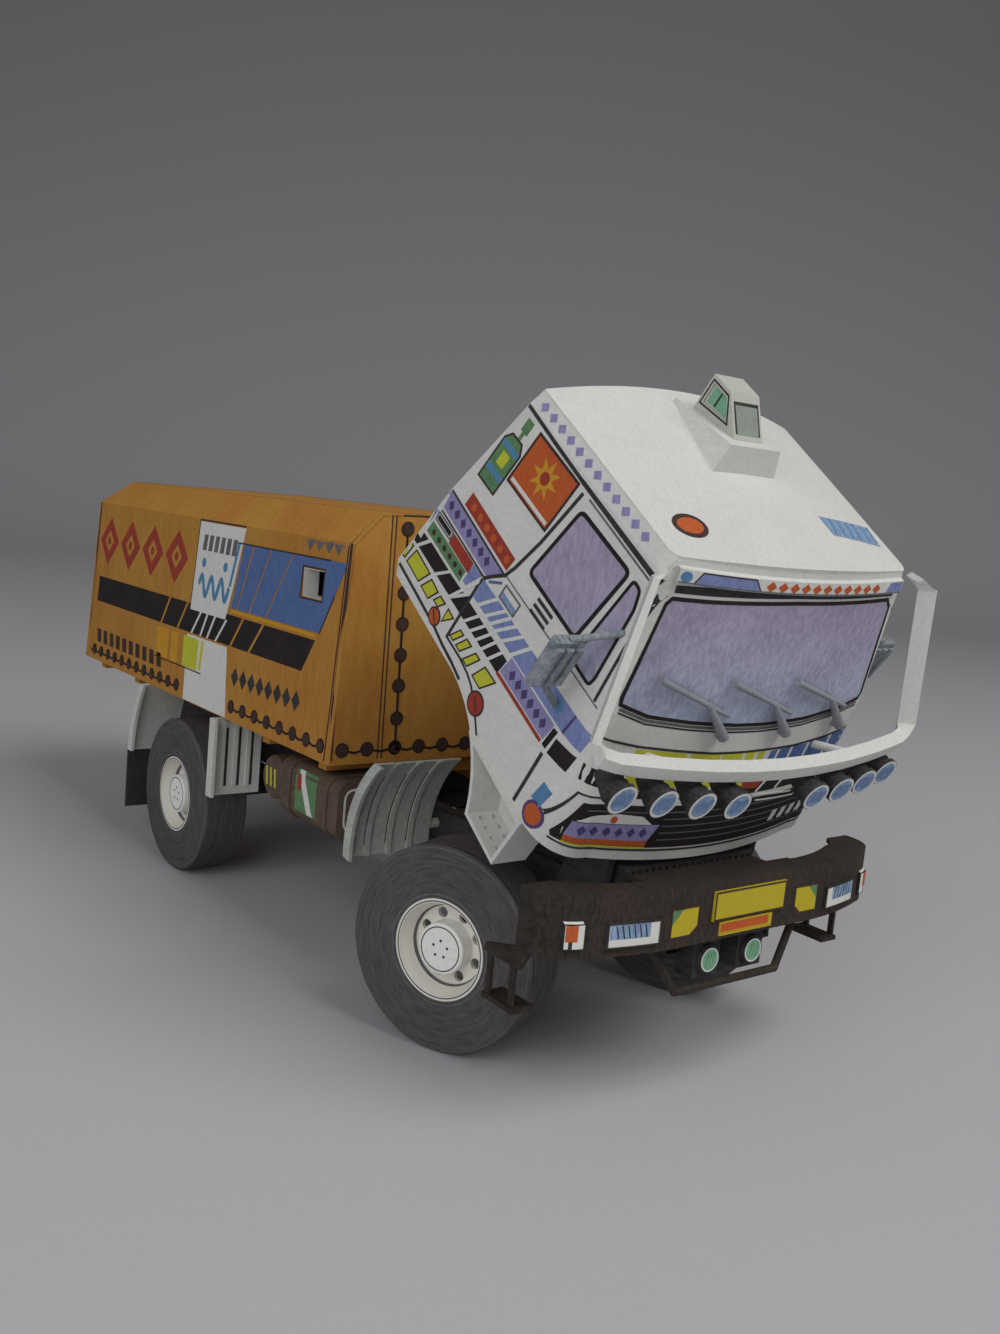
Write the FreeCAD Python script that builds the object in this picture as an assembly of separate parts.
"""Hand-coloured card model of a two-axle rally truck.

The cab tilts forward on two pins and is shown tilted. The front wheels steer and are shown
steered to the truck's left. Lengths are millimetres. X points to the truck's left, -Y is the
front and Z is up. Inside the file a place along the truck is counted from the front axle, and
save() moves each piece to the frame's origin, which is the middle of the outline on the floor.
"""
import FreeCAD
import Part
import math
import os

V = FreeCAD.Vector
X_AXIS = V(1, 0, 0)
Z_AXIS = V(0, 0, 1)
ORIGIN = V(0, 0, 0)
SIDES = {"right": -1, "left": 1}

# Whole truck
FRONT_AXLE_Y = -69.831
WHEELBASE = 116.4
TYRE_RADIUS = 19.74
TYRE_WIDTH = 11.2
CARD = 0.8
TOUCH_GAP = 0.3

# Pose of the photograph
CAB_TILT = 37.0
STEER_ANGLE = 21.7

# Wheels
RIM_RADIUS = 9.7
RIM_WALL = 0.7
RIM_DISC_DEPTH = 4.2
RIM_DISC_THICKNESS = 0.9
RIM_LIP = 0.8
HAND_HOLES = 8
HAND_HOLE_RADIUS = 1.05
HUB_RADIUS = 4.9
HUB_SINK = 0.5
HUB_STUDS = 5
HUB_STUD_CIRCLE = 3.1
HUB_STUD_RADIUS = 0.35
HUB_STUD_HEIGHT = 0.25
WHEEL_BORE = 1.3
RUNNING_GAP = 0.06
FRONT_WHEEL_FACE = 37.2
REAR_WHEEL_FACE = 38.4
TYRE_EDGE = 0.5

# Chassis frame
RAIL_OUTER = 14.0
RAIL_FLANGE = 4.2
RAIL_BOTTOM = 27.0
RAIL_TOP = 35.5
RAIL_FRONT = -38.4
RAIL_REAR = 184.0
CROSSMEMBER_COUNT = 6
CROSSMEMBER_RADIUS = 1.7
CROSSMEMBER_FIRST = -34.0
CROSSMEMBER_LAST = 180.0

# Axles, springs and knuckles
KINGPIN_X = 28.2
KINGPIN_RADIUS = 0.8
KINGPIN_BOSS_RADIUS = 2.0
KINGPIN_BOSS_HEIGHT = 3.4
FORK_THICKNESS = 1.3
FORK_RADIUS = 2.0
AXLE_DROP = 2.6
AXLE_BEAM = 2.6
STUB_RADIUS = WHEEL_BORE - RUNNING_GAP
REAR_TUBE_RADIUS = 1.9
DIFF_RADIUS = 6.4
SPRING_X = 11.6
SPRING_WIDTH = 3.2
SPRING_HALF_LENGTH = 16.0
FRONT_SEAT_Z = 20.0
REAR_SEAT_Z = 21.8
LEAF = 0.7
LEAF_COUNT = 4

# Engine, gearbox and radiator
ENGINE_HALF_LOW = 9.2
ENGINE_HALF_HIGH = 12.5
ENGINE_FRONT = -22.0
ENGINE_REAR = 14.0
ENGINE_BOTTOM = 24.4
ENGINE_TOP = 46.0
GEARBOX_RADIUS = 5.5
GEARBOX_Z = 28.0
GEARBOX_REAR = 34.0
SHAFT_RADIUS = 1.0
RADIATOR_FRONT = -30.3
RADIATOR_DEPTH = 5.0
RADIATOR_HALF_WIDTH = 16.4
RADIATOR_BOTTOM = 24.0
RADIATOR_TOP = 41.4
RADIATOR_FINS = 19

# Tilt bracket
PIVOT_Y = -30.6
PIVOT_Z = 63.7
PIN_RADIUS = 0.9
PIN_GAP = 0.06
ARM_X = 18.0
ARM_THICKNESS = 1.6
LUG_THICKNESS = 1.6
EYE_RADIUS = 2.2
ARM_FOOT_FRONT = -27.0
ARM_FOOT_REAR = -15.0

# Bumper
BUMPER_FACE = -44.3
BUMPER_HALF_WIDTH = 42.5
BUMPER_BACK = -32.3
BUMPER_BOTTOM = 31.7
BUMPER_TOP = 42.2
BUMPER_FLANGE = 5.0
BUMPER_SKIN = 0.9
STEP_PLATE = ((-36.0, 31.7), (-32.3, 31.7), (-24.6, 29.8), (-24.2, 28.3), (-33.6, 28.2))
STEP_STRAPS = (-32.6, -26.4)
STEP_STRAP_WIDTH = 1.2
TREAD_Z = 20.2
TREAD_FRONT = -33.2
TREAD_REAR = -24.6
TREAD_DEPTH = 4.6
TREAD_SLOTS = 3
LAMP_PROUD = 0.45
PLATE_HALF_WIDTH = 9.33
FOG_LAMP_X = 5.7
FOG_LAMP_Y = -41.6
FOG_LAMP_Z = 26.9
FOG_LAMP_RADIUS = 2.4
FOG_HOUSING = 6.6
BOW_TOP_X = 19.6
BOW_BOTTOM_X = 13.2
BOW_BOTTOM = 22.0
BOW_RADIUS = 0.75

# Mudguards
GUARD_OUTER = 37.4
GUARD_INNER = 16.6
GUARD_FLANGE = 2.6
GUARD_RIB = 1.1
GUARD_RIBS = 3
GUARD_LOW = (31.8, 27.6)
GUARD_MIDDLE = (29.8, 39.8)
GUARD_HIGH = (22.4, 49.4)
GUARD_ARM_Y = 32.2
REAR_GUARD_OUTER = 40.2
REAR_GUARD_INNER = 26.4
REAR_GUARD_AHEAD = 22.7
REAR_GUARD_BEHIND = 24.6
REAR_GUARD_BOTTOM = 25.2
FLAP_BOTTOM = 9.0

# Tanks
TANK_FRONT = 37.8
TANK_SHARE = 0.4651
TANK_INNER = 20.0
TANK_OUTER = 36.0
TANK_BOTTOM = 28.6
TANK_TOP = 41.6
TANK_CORNER = 3.2
AIR_TANK_RADIUS = 5.2
AIR_TANK_INNER = 18.0
AIR_TANK_OUTER = 34.0
TANK_GAP = 2.6
SPLASH_Y = WHEELBASE - REAR_GUARD_AHEAD
TANK_LENGTH = TANK_SHARE * (SPLASH_Y - TANK_FRONT)
AIR_TANK_Y = TANK_FRONT + TANK_LENGTH + TANK_GAP + AIR_TANK_RADIUS

# Box body
BOX_FRONT = 39.2
BOX_REAR = 189.4
BOX_HALF_BOTTOM = 38.0
BOX_HALF_TOP = 35.6
BOX_BOTTOM = 45.0
BOX_SHOULDER = 91.7
ROOF_HALF = 28.8
ROOF_Z = 98.7
BOX_WALL = 1.6
REAR_HIP = 8.2
FLOOR_THICKNESS = 1.2
BEARER_COUNT = 6
BEARER_WIDTH = 3.4
BEARER_HALF = 17.0
BEARER_GAP = 1.0
BEARER_END_Z = 42.4
WINDOW_FRONT = 50.2
WINDOW_LENGTH = 9.2
WINDOW_BOTTOM = 78.6
WINDOW_HEIGHT = 6.3

# Cab, closed: heights of its four levels and the outline at each of them
SILL_Z = 47.2
BELT_Z = 74.5
GUTTER_Z = 97.0
CREASE_Z = 100.0
CROWN_FRONT = 0.6
CROWN_REAR = 4.6
CAB_WALL = 0.9
ARCH_Y = 1.2
ARCH_Z = 26.0
ARCH_RADIUS = 24.8
CAB_REAR_LOW_Y = 27.0
CAB_REAR_LOW_Z = 53.4
CAB_REAR_CUT = 1.6
FLARE_WIDTH = 2.6
FLARE_PROUD = 0.5
VISOR_PROUD = 0.9
VISOR_HALF = 29.0
VISOR_BOTTOM = 96.8
VISOR_TOP = 99.0
FLOOR_Z = 51.6
STEP_FRONT = -33.0
STEP_BOTTOM = 35.6
STEP_INNER = 28.0

# Bar, lamps and wipers on the closed cab's front
BAR_FRONT = -45.2
BAR_BOW = 0.00305
BAR_Z = 73.1
BAR_HALF = 1.3
BAR_LEG_HALF = 0.55
BAR_LEG_WIDE = 1.7
BAR_CORNER_X = 38.2
BAR_CORNER_Y = -40.9
BAR_LEG_X = 40.4
BAR_LEG_Y = -38.6
BAR_LEG_Z = 75.4
BAR_SHOULDER = (35.2, -26.2, 98.4)
BAR_ROOF_END = (30.9, -24.7, 100.2)
BAR_STALK_X = 22.0
BAR_STALK_RADIUS = 0.8
LAMP_PLACES = (10.3, 18.2, 26.2, 34.2)
LAMP_FACE = -49.0
LAMP_BOW = 0.0034
LAMP_Z = 68.5
LAMP_RADIUS = 2.6
LAMP_RIM = 0.3
LAMP_RISE = 9.0
LAMP_LENGTH = 6.6
WIPER_Z = 71.5


class Level:
    """Outline of the cab at one height: a rear line, two sides, two round corners, a bowed front."""

    def __init__(self, z, rear_y, rear_half, front_y, front_half, corner_x, corner_y, bow):
        self.z = z
        self.rear_y = rear_y
        self.rear_half = rear_half
        self.front_y = front_y
        self.front_half = front_half
        self.corner_x = corner_x
        self.corner_y = corner_y
        self.bow = bow

    def side_start(self):
        """Place along the truck where the side line leaves the round corner."""
        return self.front_y + self.bow + self.corner_y

    def side_slope(self):
        """How much the side line widens towards the rear."""
        return (self.rear_half - self.front_half) / (self.rear_y - self.side_start())

    def front_at(self, share):
        """Point of the bowed front at a share of its half width, as (x, y)."""
        return (self.front_half - self.corner_x) * share, self.front_y + self.bow * share * share

    def wire(self, front_in=0.0):
        """Closed wire of the outline, with its front moved inwards."""
        nose = self.front_y + front_in
        turn_y = nose + self.bow
        side_y = turn_y + self.corner_y
        half_f = self.front_half + self.side_slope() * front_in
        turn_x = half_f - self.corner_x
        bend = math.sqrt(0.5)
        mid_x = turn_x + self.corner_x * bend
        mid_y = side_y - self.corner_y * bend
        half_r = self.rear_half
        rear = self.rear_y
        z = self.z
        edges = [
            Part.LineSegment(V(-half_r, rear, z), V(-half_f, side_y, z)),
            Part.Arc(V(-half_f, side_y, z), V(-mid_x, mid_y, z), V(-turn_x, turn_y, z)),
            Part.Arc(V(-turn_x, turn_y, z), V(0, nose, z), V(turn_x, turn_y, z)),
            Part.Arc(V(turn_x, turn_y, z), V(mid_x, mid_y, z), V(half_f, side_y, z)),
            Part.LineSegment(V(half_f, side_y, z), V(half_r, rear, z)),
            Part.LineSegment(V(half_r, rear, z), V(-half_r, rear, z)),
        ]
        return Part.Wire([edge.toShape() for edge in edges])

    def between_sides(self, wall, lift=0.0):
        """Closed wire between the two side lines, moved inwards by a wall and lengthened."""
        side_y = self.side_start()
        slope = self.side_slope()
        y0 = self.front_y - 12
        y1 = self.rear_y + 12
        near = self.front_half + slope * (y0 - side_y) - wall
        wide = self.front_half + slope * (y1 - side_y) - wall
        z = self.z + lift
        corners = [V(-near, y0, z), V(near, y0, z), V(wide, y1, z), V(-wide, y1, z)]
        return Part.makePolygon(corners + [corners[0]])

    def ahead_of(self, y1, lift=0.0):
        """Closed wire of everything ahead of a place along the truck."""
        z = self.z + lift
        corners = [V(-60, -80, z), V(60, -80, z), V(60, y1, z), V(-60, y1, z)]
        return Part.makePolygon(corners + [corners[0]])


SILL = Level(SILL_Z, rear_y=28.4, rear_half=36.2, front_y=-44.3, front_half=35.2,
             corner_x=9.0, corner_y=8.0, bow=3.0)
BELT = Level(BELT_Z, rear_y=22.9, rear_half=36.2, front_y=-34.4, front_half=33.4,
             corner_x=2.8, corner_y=2.6, bow=1.7)
GUTTER = Level(GUTTER_Z, rear_y=19.3, rear_half=32.8, front_y=-26.2, front_half=31.4,
               corner_x=2.6, corner_y=2.4, bow=1.8)
CREASE = Level(CREASE_Z, rear_y=19.1, rear_half=31.6, front_y=-25.1, front_half=30.4,
               corner_x=2.6, corner_y=2.4, bow=1.8)


# General helpers
def save(name, shape):
    """Move a piece from the front axle's datum to the origin and write it."""
    placed = shape.copy()
    placed.translate(V(0, FRONT_AXLE_Y, 0))
    placed.exportStep(os.path.join("parts", name + ".step"))


def block(x0, x1, y0, y1, z0, z1):
    """Box between two corners."""
    return Part.makeBox(x1 - x0, y1 - y0, z1 - z0, V(x0, y0, z0))


def rod(start, end, radius):
    """Round bar from one point to another."""
    way = end.sub(start)
    return Part.makeCylinder(radius, way.Length, start, way)


def taper(start, end, radius_start, radius_end):
    """Round bar whose radius changes along it."""
    way = end.sub(start)
    return Part.makeCone(radius_start, radius_end, way.Length, start, way)


def prism(points, direction):
    """Solid swept from a closed polygon along a direction."""
    return Part.Face(Part.makePolygon(points + [points[0]])).extrude(direction)


def profile_x(points, x0, x1):
    """Solid swept along X from a polygon of (y, z) points."""
    return prism([V(x0, y, z) for y, z in points], V(x1 - x0, 0, 0))


def fuse_all(shapes):
    """One shape from many."""
    result = shapes[0]
    for shape in shapes[1:]:
        result = result.fuse(shape)
    return result.removeSplitter()


def keep_apart(shapes):
    """Several solids in one piece's file."""
    solids = []
    for shape in shapes:
        solids.extend(shape.Solids)
    return Part.makeCompound(solids)


def mirrored(shape):
    """The same shape on the other side of the truck."""
    return shape.mirror(ORIGIN, X_AXIS)


def both_sides(shape):
    """A shape and its mirror image as separate solids."""
    return keep_apart([shape, mirrored(shape)])


def bent_bar(points, bends, radius):
    """Round bar through a row of points, with a round bend of its own radius at each inner one."""
    edges = []
    start = points[0]
    for before, corner, after, bend in zip(points, points[1:], points[2:], bends):
        back = before.sub(corner).normalize()
        ahead = after.sub(corner).normalize()
        half = back.getAngle(ahead) / 2
        reach = bend / math.tan(half)
        halfway = V(back).add(ahead).normalize()
        entry = V(corner).add(V(back).multiply(reach))
        leave = V(corner).add(V(ahead).multiply(reach))
        middle = V(corner).add(halfway.multiply(bend / math.sin(half) - bend))
        edges.append(Part.LineSegment(start, entry).toShape())
        edges.append(Part.Arc(entry, middle, leave).toShape())
        start = leave
    edges.append(Part.LineSegment(start, points[-1]).toShape())
    direction = points[1].sub(points[0])
    section = Part.Face(Part.Wire(Part.makeCircle(radius, points[0], direction)))
    return Part.Wire(edges).makePipe(section)


def arc_band(p_start, p_mid, p_end, inward, thickness, x0, x1):
    """Sheet along X with a round section through three (y, z) points, thickened inwards."""
    outer = Part.Arc(*[V(x0, y, z) for y, z in (p_start, p_mid, p_end)]).toShape()
    inner_points = [V(x0, y + inward[0] * thickness, z + inward[1] * thickness)
                    for y, z in (p_start, p_mid, p_end)]
    inner = Part.Arc(*inner_points).toShape()
    cap_a = Part.LineSegment(outer.Vertexes[0].Point, inner.Vertexes[0].Point).toShape()
    cap_b = Part.LineSegment(outer.Vertexes[-1].Point, inner.Vertexes[-1].Point).toShape()
    face = Part.Face(Part.Wire(Part.__sortEdges__([outer, cap_a, inner, cap_b])))
    return face.extrude(V(x1 - x0, 0, 0))


def tilt(shape):
    """Turn a piece of the closed cab to the tilted pose."""
    turned = shape.copy()
    turned.rotate(V(0, PIVOT_Y, PIVOT_Z), X_AXIS, CAB_TILT)
    return turned


def steer(shape, side):
    """Turn a straight front wheel piece about its kingpin to the steered pose."""
    turned = shape.copy()
    turned.rotate(V(side * KINGPIN_X, 0, TYRE_RADIUS), Z_AXIS, STEER_ANGLE)
    return turned


# Chassis
def frame_rail():
    """Left channel rail, open to the inside."""
    inner = RAIL_OUTER - RAIL_FLANGE
    web = RAIL_OUTER - CARD
    section = [(RAIL_OUTER, RAIL_BOTTOM), (RAIL_OUTER, RAIL_TOP), (inner, RAIL_TOP),
               (inner, RAIL_TOP - CARD), (web, RAIL_TOP - CARD), (web, RAIL_BOTTOM + CARD),
               (inner, RAIL_BOTTOM + CARD), (inner, RAIL_BOTTOM)]
    points = [V(x, RAIL_FRONT, z) for x, z in section]
    return prism(points, V(0, RAIL_REAR - RAIL_FRONT, 0))


def bumper_bracket():
    """Left plate that carries the bumper on the rail's web."""
    return block(RAIL_OUTER, RAIL_OUTER + 1.6, BUMPER_FACE + BUMPER_SKIN, RAIL_FRONT + 8,
                 BUMPER_BOTTOM + BUMPER_SKIN + 0.1, RAIL_TOP - 0.1)


def crossmembers():
    """Tubes between the rails' webs."""
    web = RAIL_OUTER - CARD
    mid_z = (RAIL_BOTTOM + RAIL_TOP) / 2
    pitch = (CROSSMEMBER_LAST - CROSSMEMBER_FIRST) / (CROSSMEMBER_COUNT - 1)
    tubes = []
    for i in range(CROSSMEMBER_COUNT):
        y = CROSSMEMBER_FIRST + pitch * i
        if ENGINE_FRONT - 2 < y < GEARBOX_REAR + 2:
            y = GEARBOX_REAR + 3 + CROSSMEMBER_RADIUS
        tubes.append(rod(V(-web, y, mid_z), V(web, y, mid_z), CROSSMEMBER_RADIUS))
    return keep_apart(tubes)


def front_axle():
    """Dropped beam with a bored boss at each kingpin."""
    low = TYRE_RADIUS - AXLE_DROP
    half = AXLE_BEAM / 2
    centre_line = [(-KINGPIN_X, TYRE_RADIUS), (-21.0, TYRE_RADIUS), (-15.5, low),
                   (15.5, low), (21.0, TYRE_RADIUS), (KINGPIN_X, TYRE_RADIUS)]
    top = [V(x, -half, z + half) for x, z in centre_line]
    bottom = [V(x, -half, z - half) for x, z in reversed(centre_line)]
    beam = prism(top + bottom, V(0, AXLE_BEAM, 0))
    for side in SIDES.values():
        base = V(side * KINGPIN_X, 0, TYRE_RADIUS - KINGPIN_BOSS_HEIGHT / 2)
        beam = beam.fuse(Part.makeCylinder(KINGPIN_BOSS_RADIUS, KINGPIN_BOSS_HEIGHT, base))
        bore = V(side * KINGPIN_X, 0, 0)
        beam = beam.cut(Part.makeCylinder(KINGPIN_RADIUS + RUNNING_GAP, 2 * TYRE_RADIUS, bore))
    for side in SIDES.values():
        pad = block(side * SPRING_X - 1.8, side * SPRING_X + 1.8, -2.2, 2.2, low, FRONT_SEAT_Z)
        beam = beam.fuse(pad)
    return beam.removeSplitter()


def leaf_spring(axle_y, seat_z, side):
    """Leaf pack on its seat, with rolled eyes that hang from the rail's underside."""
    x0 = side * SPRING_X - SPRING_WIDTH / 2
    x1 = x0 + SPRING_WIDTH
    eye_z = RAIL_BOTTOM - 1.0
    sag = eye_z - LEAF * LEAF_COUNT - seat_z
    pack = None
    for i in range(LEAF_COUNT):
        reach = SPRING_HALF_LENGTH * (1 - 0.2 * i)
        share = (reach / SPRING_HALF_LENGTH) ** 2
        middle_z = eye_z - sag - LEAF * i
        end_z = middle_z + sag * share
        leaf = arc_band((axle_y - reach, end_z), (axle_y, middle_z), (axle_y + reach, end_z),
                        (0, -1), LEAF, x0, x1)
        pack = leaf if pack is None else pack.fuse(leaf)
    for end in (-1, 1):
        y = axle_y + end * SPRING_HALF_LENGTH
        eye = rod(V(x0, y, eye_z - 0.2), V(x1, y, eye_z - 0.2), 1.2)
        pack = pack.fuse(eye)
    return pack.removeSplitter()


def spring_hanger(axle_y, side):
    """Pair of rail brackets that the spring eyes seat in."""
    x0 = side * SPRING_X - SPRING_WIDTH / 2
    brackets = []
    for end in (-1, 1):
        y = axle_y + end * SPRING_HALF_LENGTH
        brackets.append(block(x0, x0 + SPRING_WIDTH, y - 1.6, y + 1.6, RAIL_BOTTOM - 1.2, RAIL_BOTTOM))
    return brackets


def rear_axle():
    """Axle tube with a round differential housing, seats and wheel stubs."""
    inner_face = REAR_WHEEL_FACE - TYRE_WIDTH
    z = TYRE_RADIUS
    tube = rod(V(-inner_face - 4.4, WHEELBASE, z), V(inner_face + 4.4, WHEELBASE, z), REAR_TUBE_RADIUS)
    ball = Part.makeSphere(DIFF_RADIUS, V(0, WHEELBASE, z))
    nose = taper(V(0, WHEELBASE - DIFF_RADIUS + 1.5, z), V(0, WHEELBASE - DIFF_RADIUS - 3.5, z), 3.4, 2.0)
    axle = tube.fuse(ball).fuse(nose)
    for side in SIDES.values():
        drum_in = V(side * (inner_face + 0.6), WHEELBASE, z)
        brake = rod(drum_in, V(side * (inner_face + 4.4), WHEELBASE, z), 5.6)
        stub = rod(V(side * (inner_face + 4.0), WHEELBASE, z),
                   V(side * (REAR_WHEEL_FACE - HUB_SINK - 1.4), WHEELBASE, z), STUB_RADIUS)
        pad = block(side * SPRING_X - 1.8, side * SPRING_X + 1.8, WHEELBASE - 2.2, WHEELBASE + 2.2,
                    z, REAR_SEAT_Z)
        axle = axle.fuse(brake).fuse(stub).fuse(pad)
    return axle.removeSplitter()


def engine():
    """Plain engine block that stands on the rails, with chamfered top edges and a gearbox."""
    seat = RAIL_TOP
    head = block(-ENGINE_HALF_HIGH, ENGINE_HALF_HIGH, ENGINE_FRONT, ENGINE_REAR, seat, ENGINE_TOP)
    long_top = [edge for edge in head.Edges
                if abs(edge.BoundBox.ZMin - ENGINE_TOP) < 0.01 and edge.BoundBox.YLength > 10]
    head = head.makeChamfer(3.0, long_top)
    low = block(-ENGINE_HALF_LOW, ENGINE_HALF_LOW, ENGINE_FRONT, ENGINE_REAR, ENGINE_BOTTOM, seat + 1)
    start = V(0, ENGINE_REAR - 0.5, GEARBOX_Z)
    gearbox = taper(start, V(0, GEARBOX_REAR, GEARBOX_Z), GEARBOX_RADIUS + 1.5, GEARBOX_RADIUS - 1)
    return fuse_all([head, low, gearbox])


def drive_shaft():
    """Shaft from the gearbox to the differential."""
    rear = V(0, WHEELBASE - DIFF_RADIUS - 3.5, TYRE_RADIUS)
    front = V(0, GEARBOX_REAR, GEARBOX_Z)
    clear = rear.sub(front).normalize().multiply(0.2)
    return rod(front.add(clear), rear.sub(clear), SHAFT_RADIUS)


def radiator():
    """Core between the rails, wider top above them, with upright fins on its front."""
    back = RADIATOR_FRONT + RADIATOR_DEPTH
    web = RAIL_OUTER - CARD - 0.4
    core = block(-web + 3.6, web - 3.6, RADIATOR_FRONT, back, RADIATOR_BOTTOM, RAIL_TOP)
    head = block(-RADIATOR_HALF_WIDTH, RADIATOR_HALF_WIDTH, RADIATOR_FRONT, back, RAIL_TOP, RADIATOR_TOP)
    body = core.fuse(head)
    pitch = 2 * (RADIATOR_HALF_WIDTH - 1.2) / (RADIATOR_FINS - 1)
    for i in range(RADIATOR_FINS):
        x = -RADIATOR_HALF_WIDTH + 1.2 + pitch * i
        body = body.cut(block(x - 0.3, x + 0.3, RADIATOR_FRONT - 1, RADIATOR_FRONT + 0.5,
                              RAIL_TOP + 0.8, RADIATOR_TOP - 0.8))
    return body.removeSplitter()


def tilt_arm():
    """Left arm: a foot on the rail and a slanting plate up to the pin."""
    outer = ARM_X + ARM_THICKNESS
    foot = block(RAIL_OUTER, outer, ARM_FOOT_FRONT, ARM_FOOT_REAR, RAIL_TOP - 5.5, RAIL_TOP)
    plate = profile_x([(ARM_FOOT_FRONT, RAIL_TOP - 5.5), (ARM_FOOT_REAR, RAIL_TOP - 5.5),
                       (ARM_FOOT_REAR, RAIL_TOP), (PIVOT_Y + EYE_RADIUS, PIVOT_Z),
                       (PIVOT_Y - EYE_RADIUS, PIVOT_Z - 1.0), (ARM_FOOT_FRONT, RAIL_TOP)], ARM_X, outer)
    eye = rod(V(ARM_X, PIVOT_Y, PIVOT_Z), V(outer, PIVOT_Y, PIVOT_Z), EYE_RADIUS)
    pin = rod(V(ARM_X, PIVOT_Y, PIVOT_Z), V(outer + TOUCH_GAP + LUG_THICKNESS + 0.5, PIVOT_Y, PIVOT_Z),
              PIN_RADIUS)
    return fuse_all([foot, plate, eye, pin])


def cab_rest():
    """Goalpost behind the engine that the closed cab's floor comes down on."""
    y0 = 17.0
    y1 = 19.6
    top = FLOOR_Z - CAB_WALL - TOUCH_GAP
    legs = block(-RAIL_OUTER + 0.5, RAIL_OUTER - 0.5, y0, y1, RAIL_TOP, top)
    return legs.cut(block(-9.5, 9.5, y0 - 1, y1 + 1, RAIL_TOP - 1, top - 3.2))


# Bumper and lamps
def bumper_prism(inset, z0, z1, back=BUMPER_BACK):
    """Solid inside the bumper's plan curve, moved inwards by inset."""
    half = BUMPER_HALF_WIDTH - inset
    face = BUMPER_FACE + inset
    flat = 18.0
    turn_x = half - 6.5
    turn_y = face + 3.3
    end_y = face + 10.8
    bend_x = half - 1.7
    bend_y = face + 6.2
    pieces = [
        Part.LineSegment(V(-half, back, z0), V(-half, end_y, z0)),
        Part.Arc(V(-half, end_y, z0), V(-bend_x, bend_y, z0), V(-turn_x, turn_y, z0)),
        Part.Arc(V(-turn_x, turn_y, z0), V(-(flat + turn_x) / 2, face + 1.0, z0), V(-flat, face, z0)),
        Part.LineSegment(V(-flat, face, z0), V(flat, face, z0)),
        Part.Arc(V(flat, face, z0), V((flat + turn_x) / 2, face + 1.0, z0), V(turn_x, turn_y, z0)),
        Part.Arc(V(turn_x, turn_y, z0), V(bend_x, bend_y, z0), V(half, end_y, z0)),
        Part.LineSegment(V(half, end_y, z0), V(half, back, z0)),
        Part.LineSegment(V(half, back, z0), V(-half, back, z0)),
    ]
    wire = Part.Wire([piece.toShape() for piece in pieces])
    return Part.Face(wire).extrude(V(0, 0, z1 - z0))


def bumper():
    """Card bumper: a bent face with a flange along its top and bottom and a deck in the middle."""
    body = bumper_prism(0, BUMPER_BOTTOM, BUMPER_TOP)
    hollow = bumper_prism(BUMPER_SKIN, BUMPER_BOTTOM + BUMPER_SKIN, BUMPER_TOP - BUMPER_SKIN, BUMPER_BACK + 5)
    opening = bumper_prism(BUMPER_FLANGE, BUMPER_BOTTOM - 1, BUMPER_TOP + 1, BUMPER_BACK + 5)
    body = body.cut(hollow).cut(opening)
    deck = block(-RADIATOR_HALF_WIDTH, RADIATOR_HALF_WIDTH, BUMPER_FACE + BUMPER_FLANGE - 0.1,
                 RADIATOR_FRONT, BUMPER_TOP - 3.0, BUMPER_TOP - 3.0 + BUMPER_SKIN)
    lip = block(-RADIATOR_HALF_WIDTH, RADIATOR_HALF_WIDTH, BUMPER_FACE + BUMPER_FLANGE - 0.1,
                BUMPER_FACE + BUMPER_FLANGE + 0.7, BUMPER_TOP - 3.0, BUMPER_TOP)
    return body.fuse(deck).fuse(lip).removeSplitter()


def bumper_steps():
    """Steps that hang under the bumper's ends: a bracket, two straps and a slotted tread."""
    out = BUMPER_HALF_WIDTH
    plate = prism([V(out - BUMPER_SKIN, y, z) for y, z in STEP_PLATE], V(BUMPER_SKIN, 0, 0))
    tread = block(out - TREAD_DEPTH, out, TREAD_FRONT, TREAD_REAR, TREAD_Z, TREAD_Z + BUMPER_SKIN)
    pitch = TREAD_DEPTH / (TREAD_SLOTS + 0.5)
    for i in range(TREAD_SLOTS):
        x = out - TREAD_DEPTH + pitch * (i + 0.5)
        tread = tread.cut(block(x, x + pitch / 2, TREAD_FRONT + 1, TREAD_REAR - 1, TREAD_Z - 1, TREAD_Z + 2))
    straps = [block(out - 0.75, out - 0.15, y, y + STEP_STRAP_WIDTH, TREAD_Z + 0.4, STEP_PLATE[-1][1] + 0.6)
              for y in STEP_STRAPS]
    return both_sides(fuse_all([plate, tread] + straps))


def bumper_patch(x0, x1, z0, z1, proud=LAMP_PROUD):
    """Thin raised piece that follows the bumper's face between two widths and two heights."""
    skin = bumper_prism(-proud, z0, z1).cut(bumper_prism(0, z0 - 1, z1 + 1))
    return skin.common(block(x0, x1, BUMPER_FACE - 5, BUMPER_BACK - 0.5, z0, z1))


def bumper_lamps():
    """Rectangular headlamps on the bumper's face and indicators on its round corners."""
    headlamp = bumper_patch(21.7, 32.05, 33.2, 37.6)
    indicator = bumper_patch(35.9, 39.3, 33.4, 37.7)
    return keep_apart([headlamp, indicator, mirrored(headlamp), mirrored(indicator)])


def number_plate():
    """Blank plate with a blank strip under it."""
    plate = bumper_patch(-PLATE_HALF_WIDTH, PLATE_HALF_WIDTH, 35.3, 40.6, 0.5)
    strip = bumper_patch(-7.2, 6.4, 32.4, 34.9, 0.3)
    return keep_apart([plate, strip])


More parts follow.
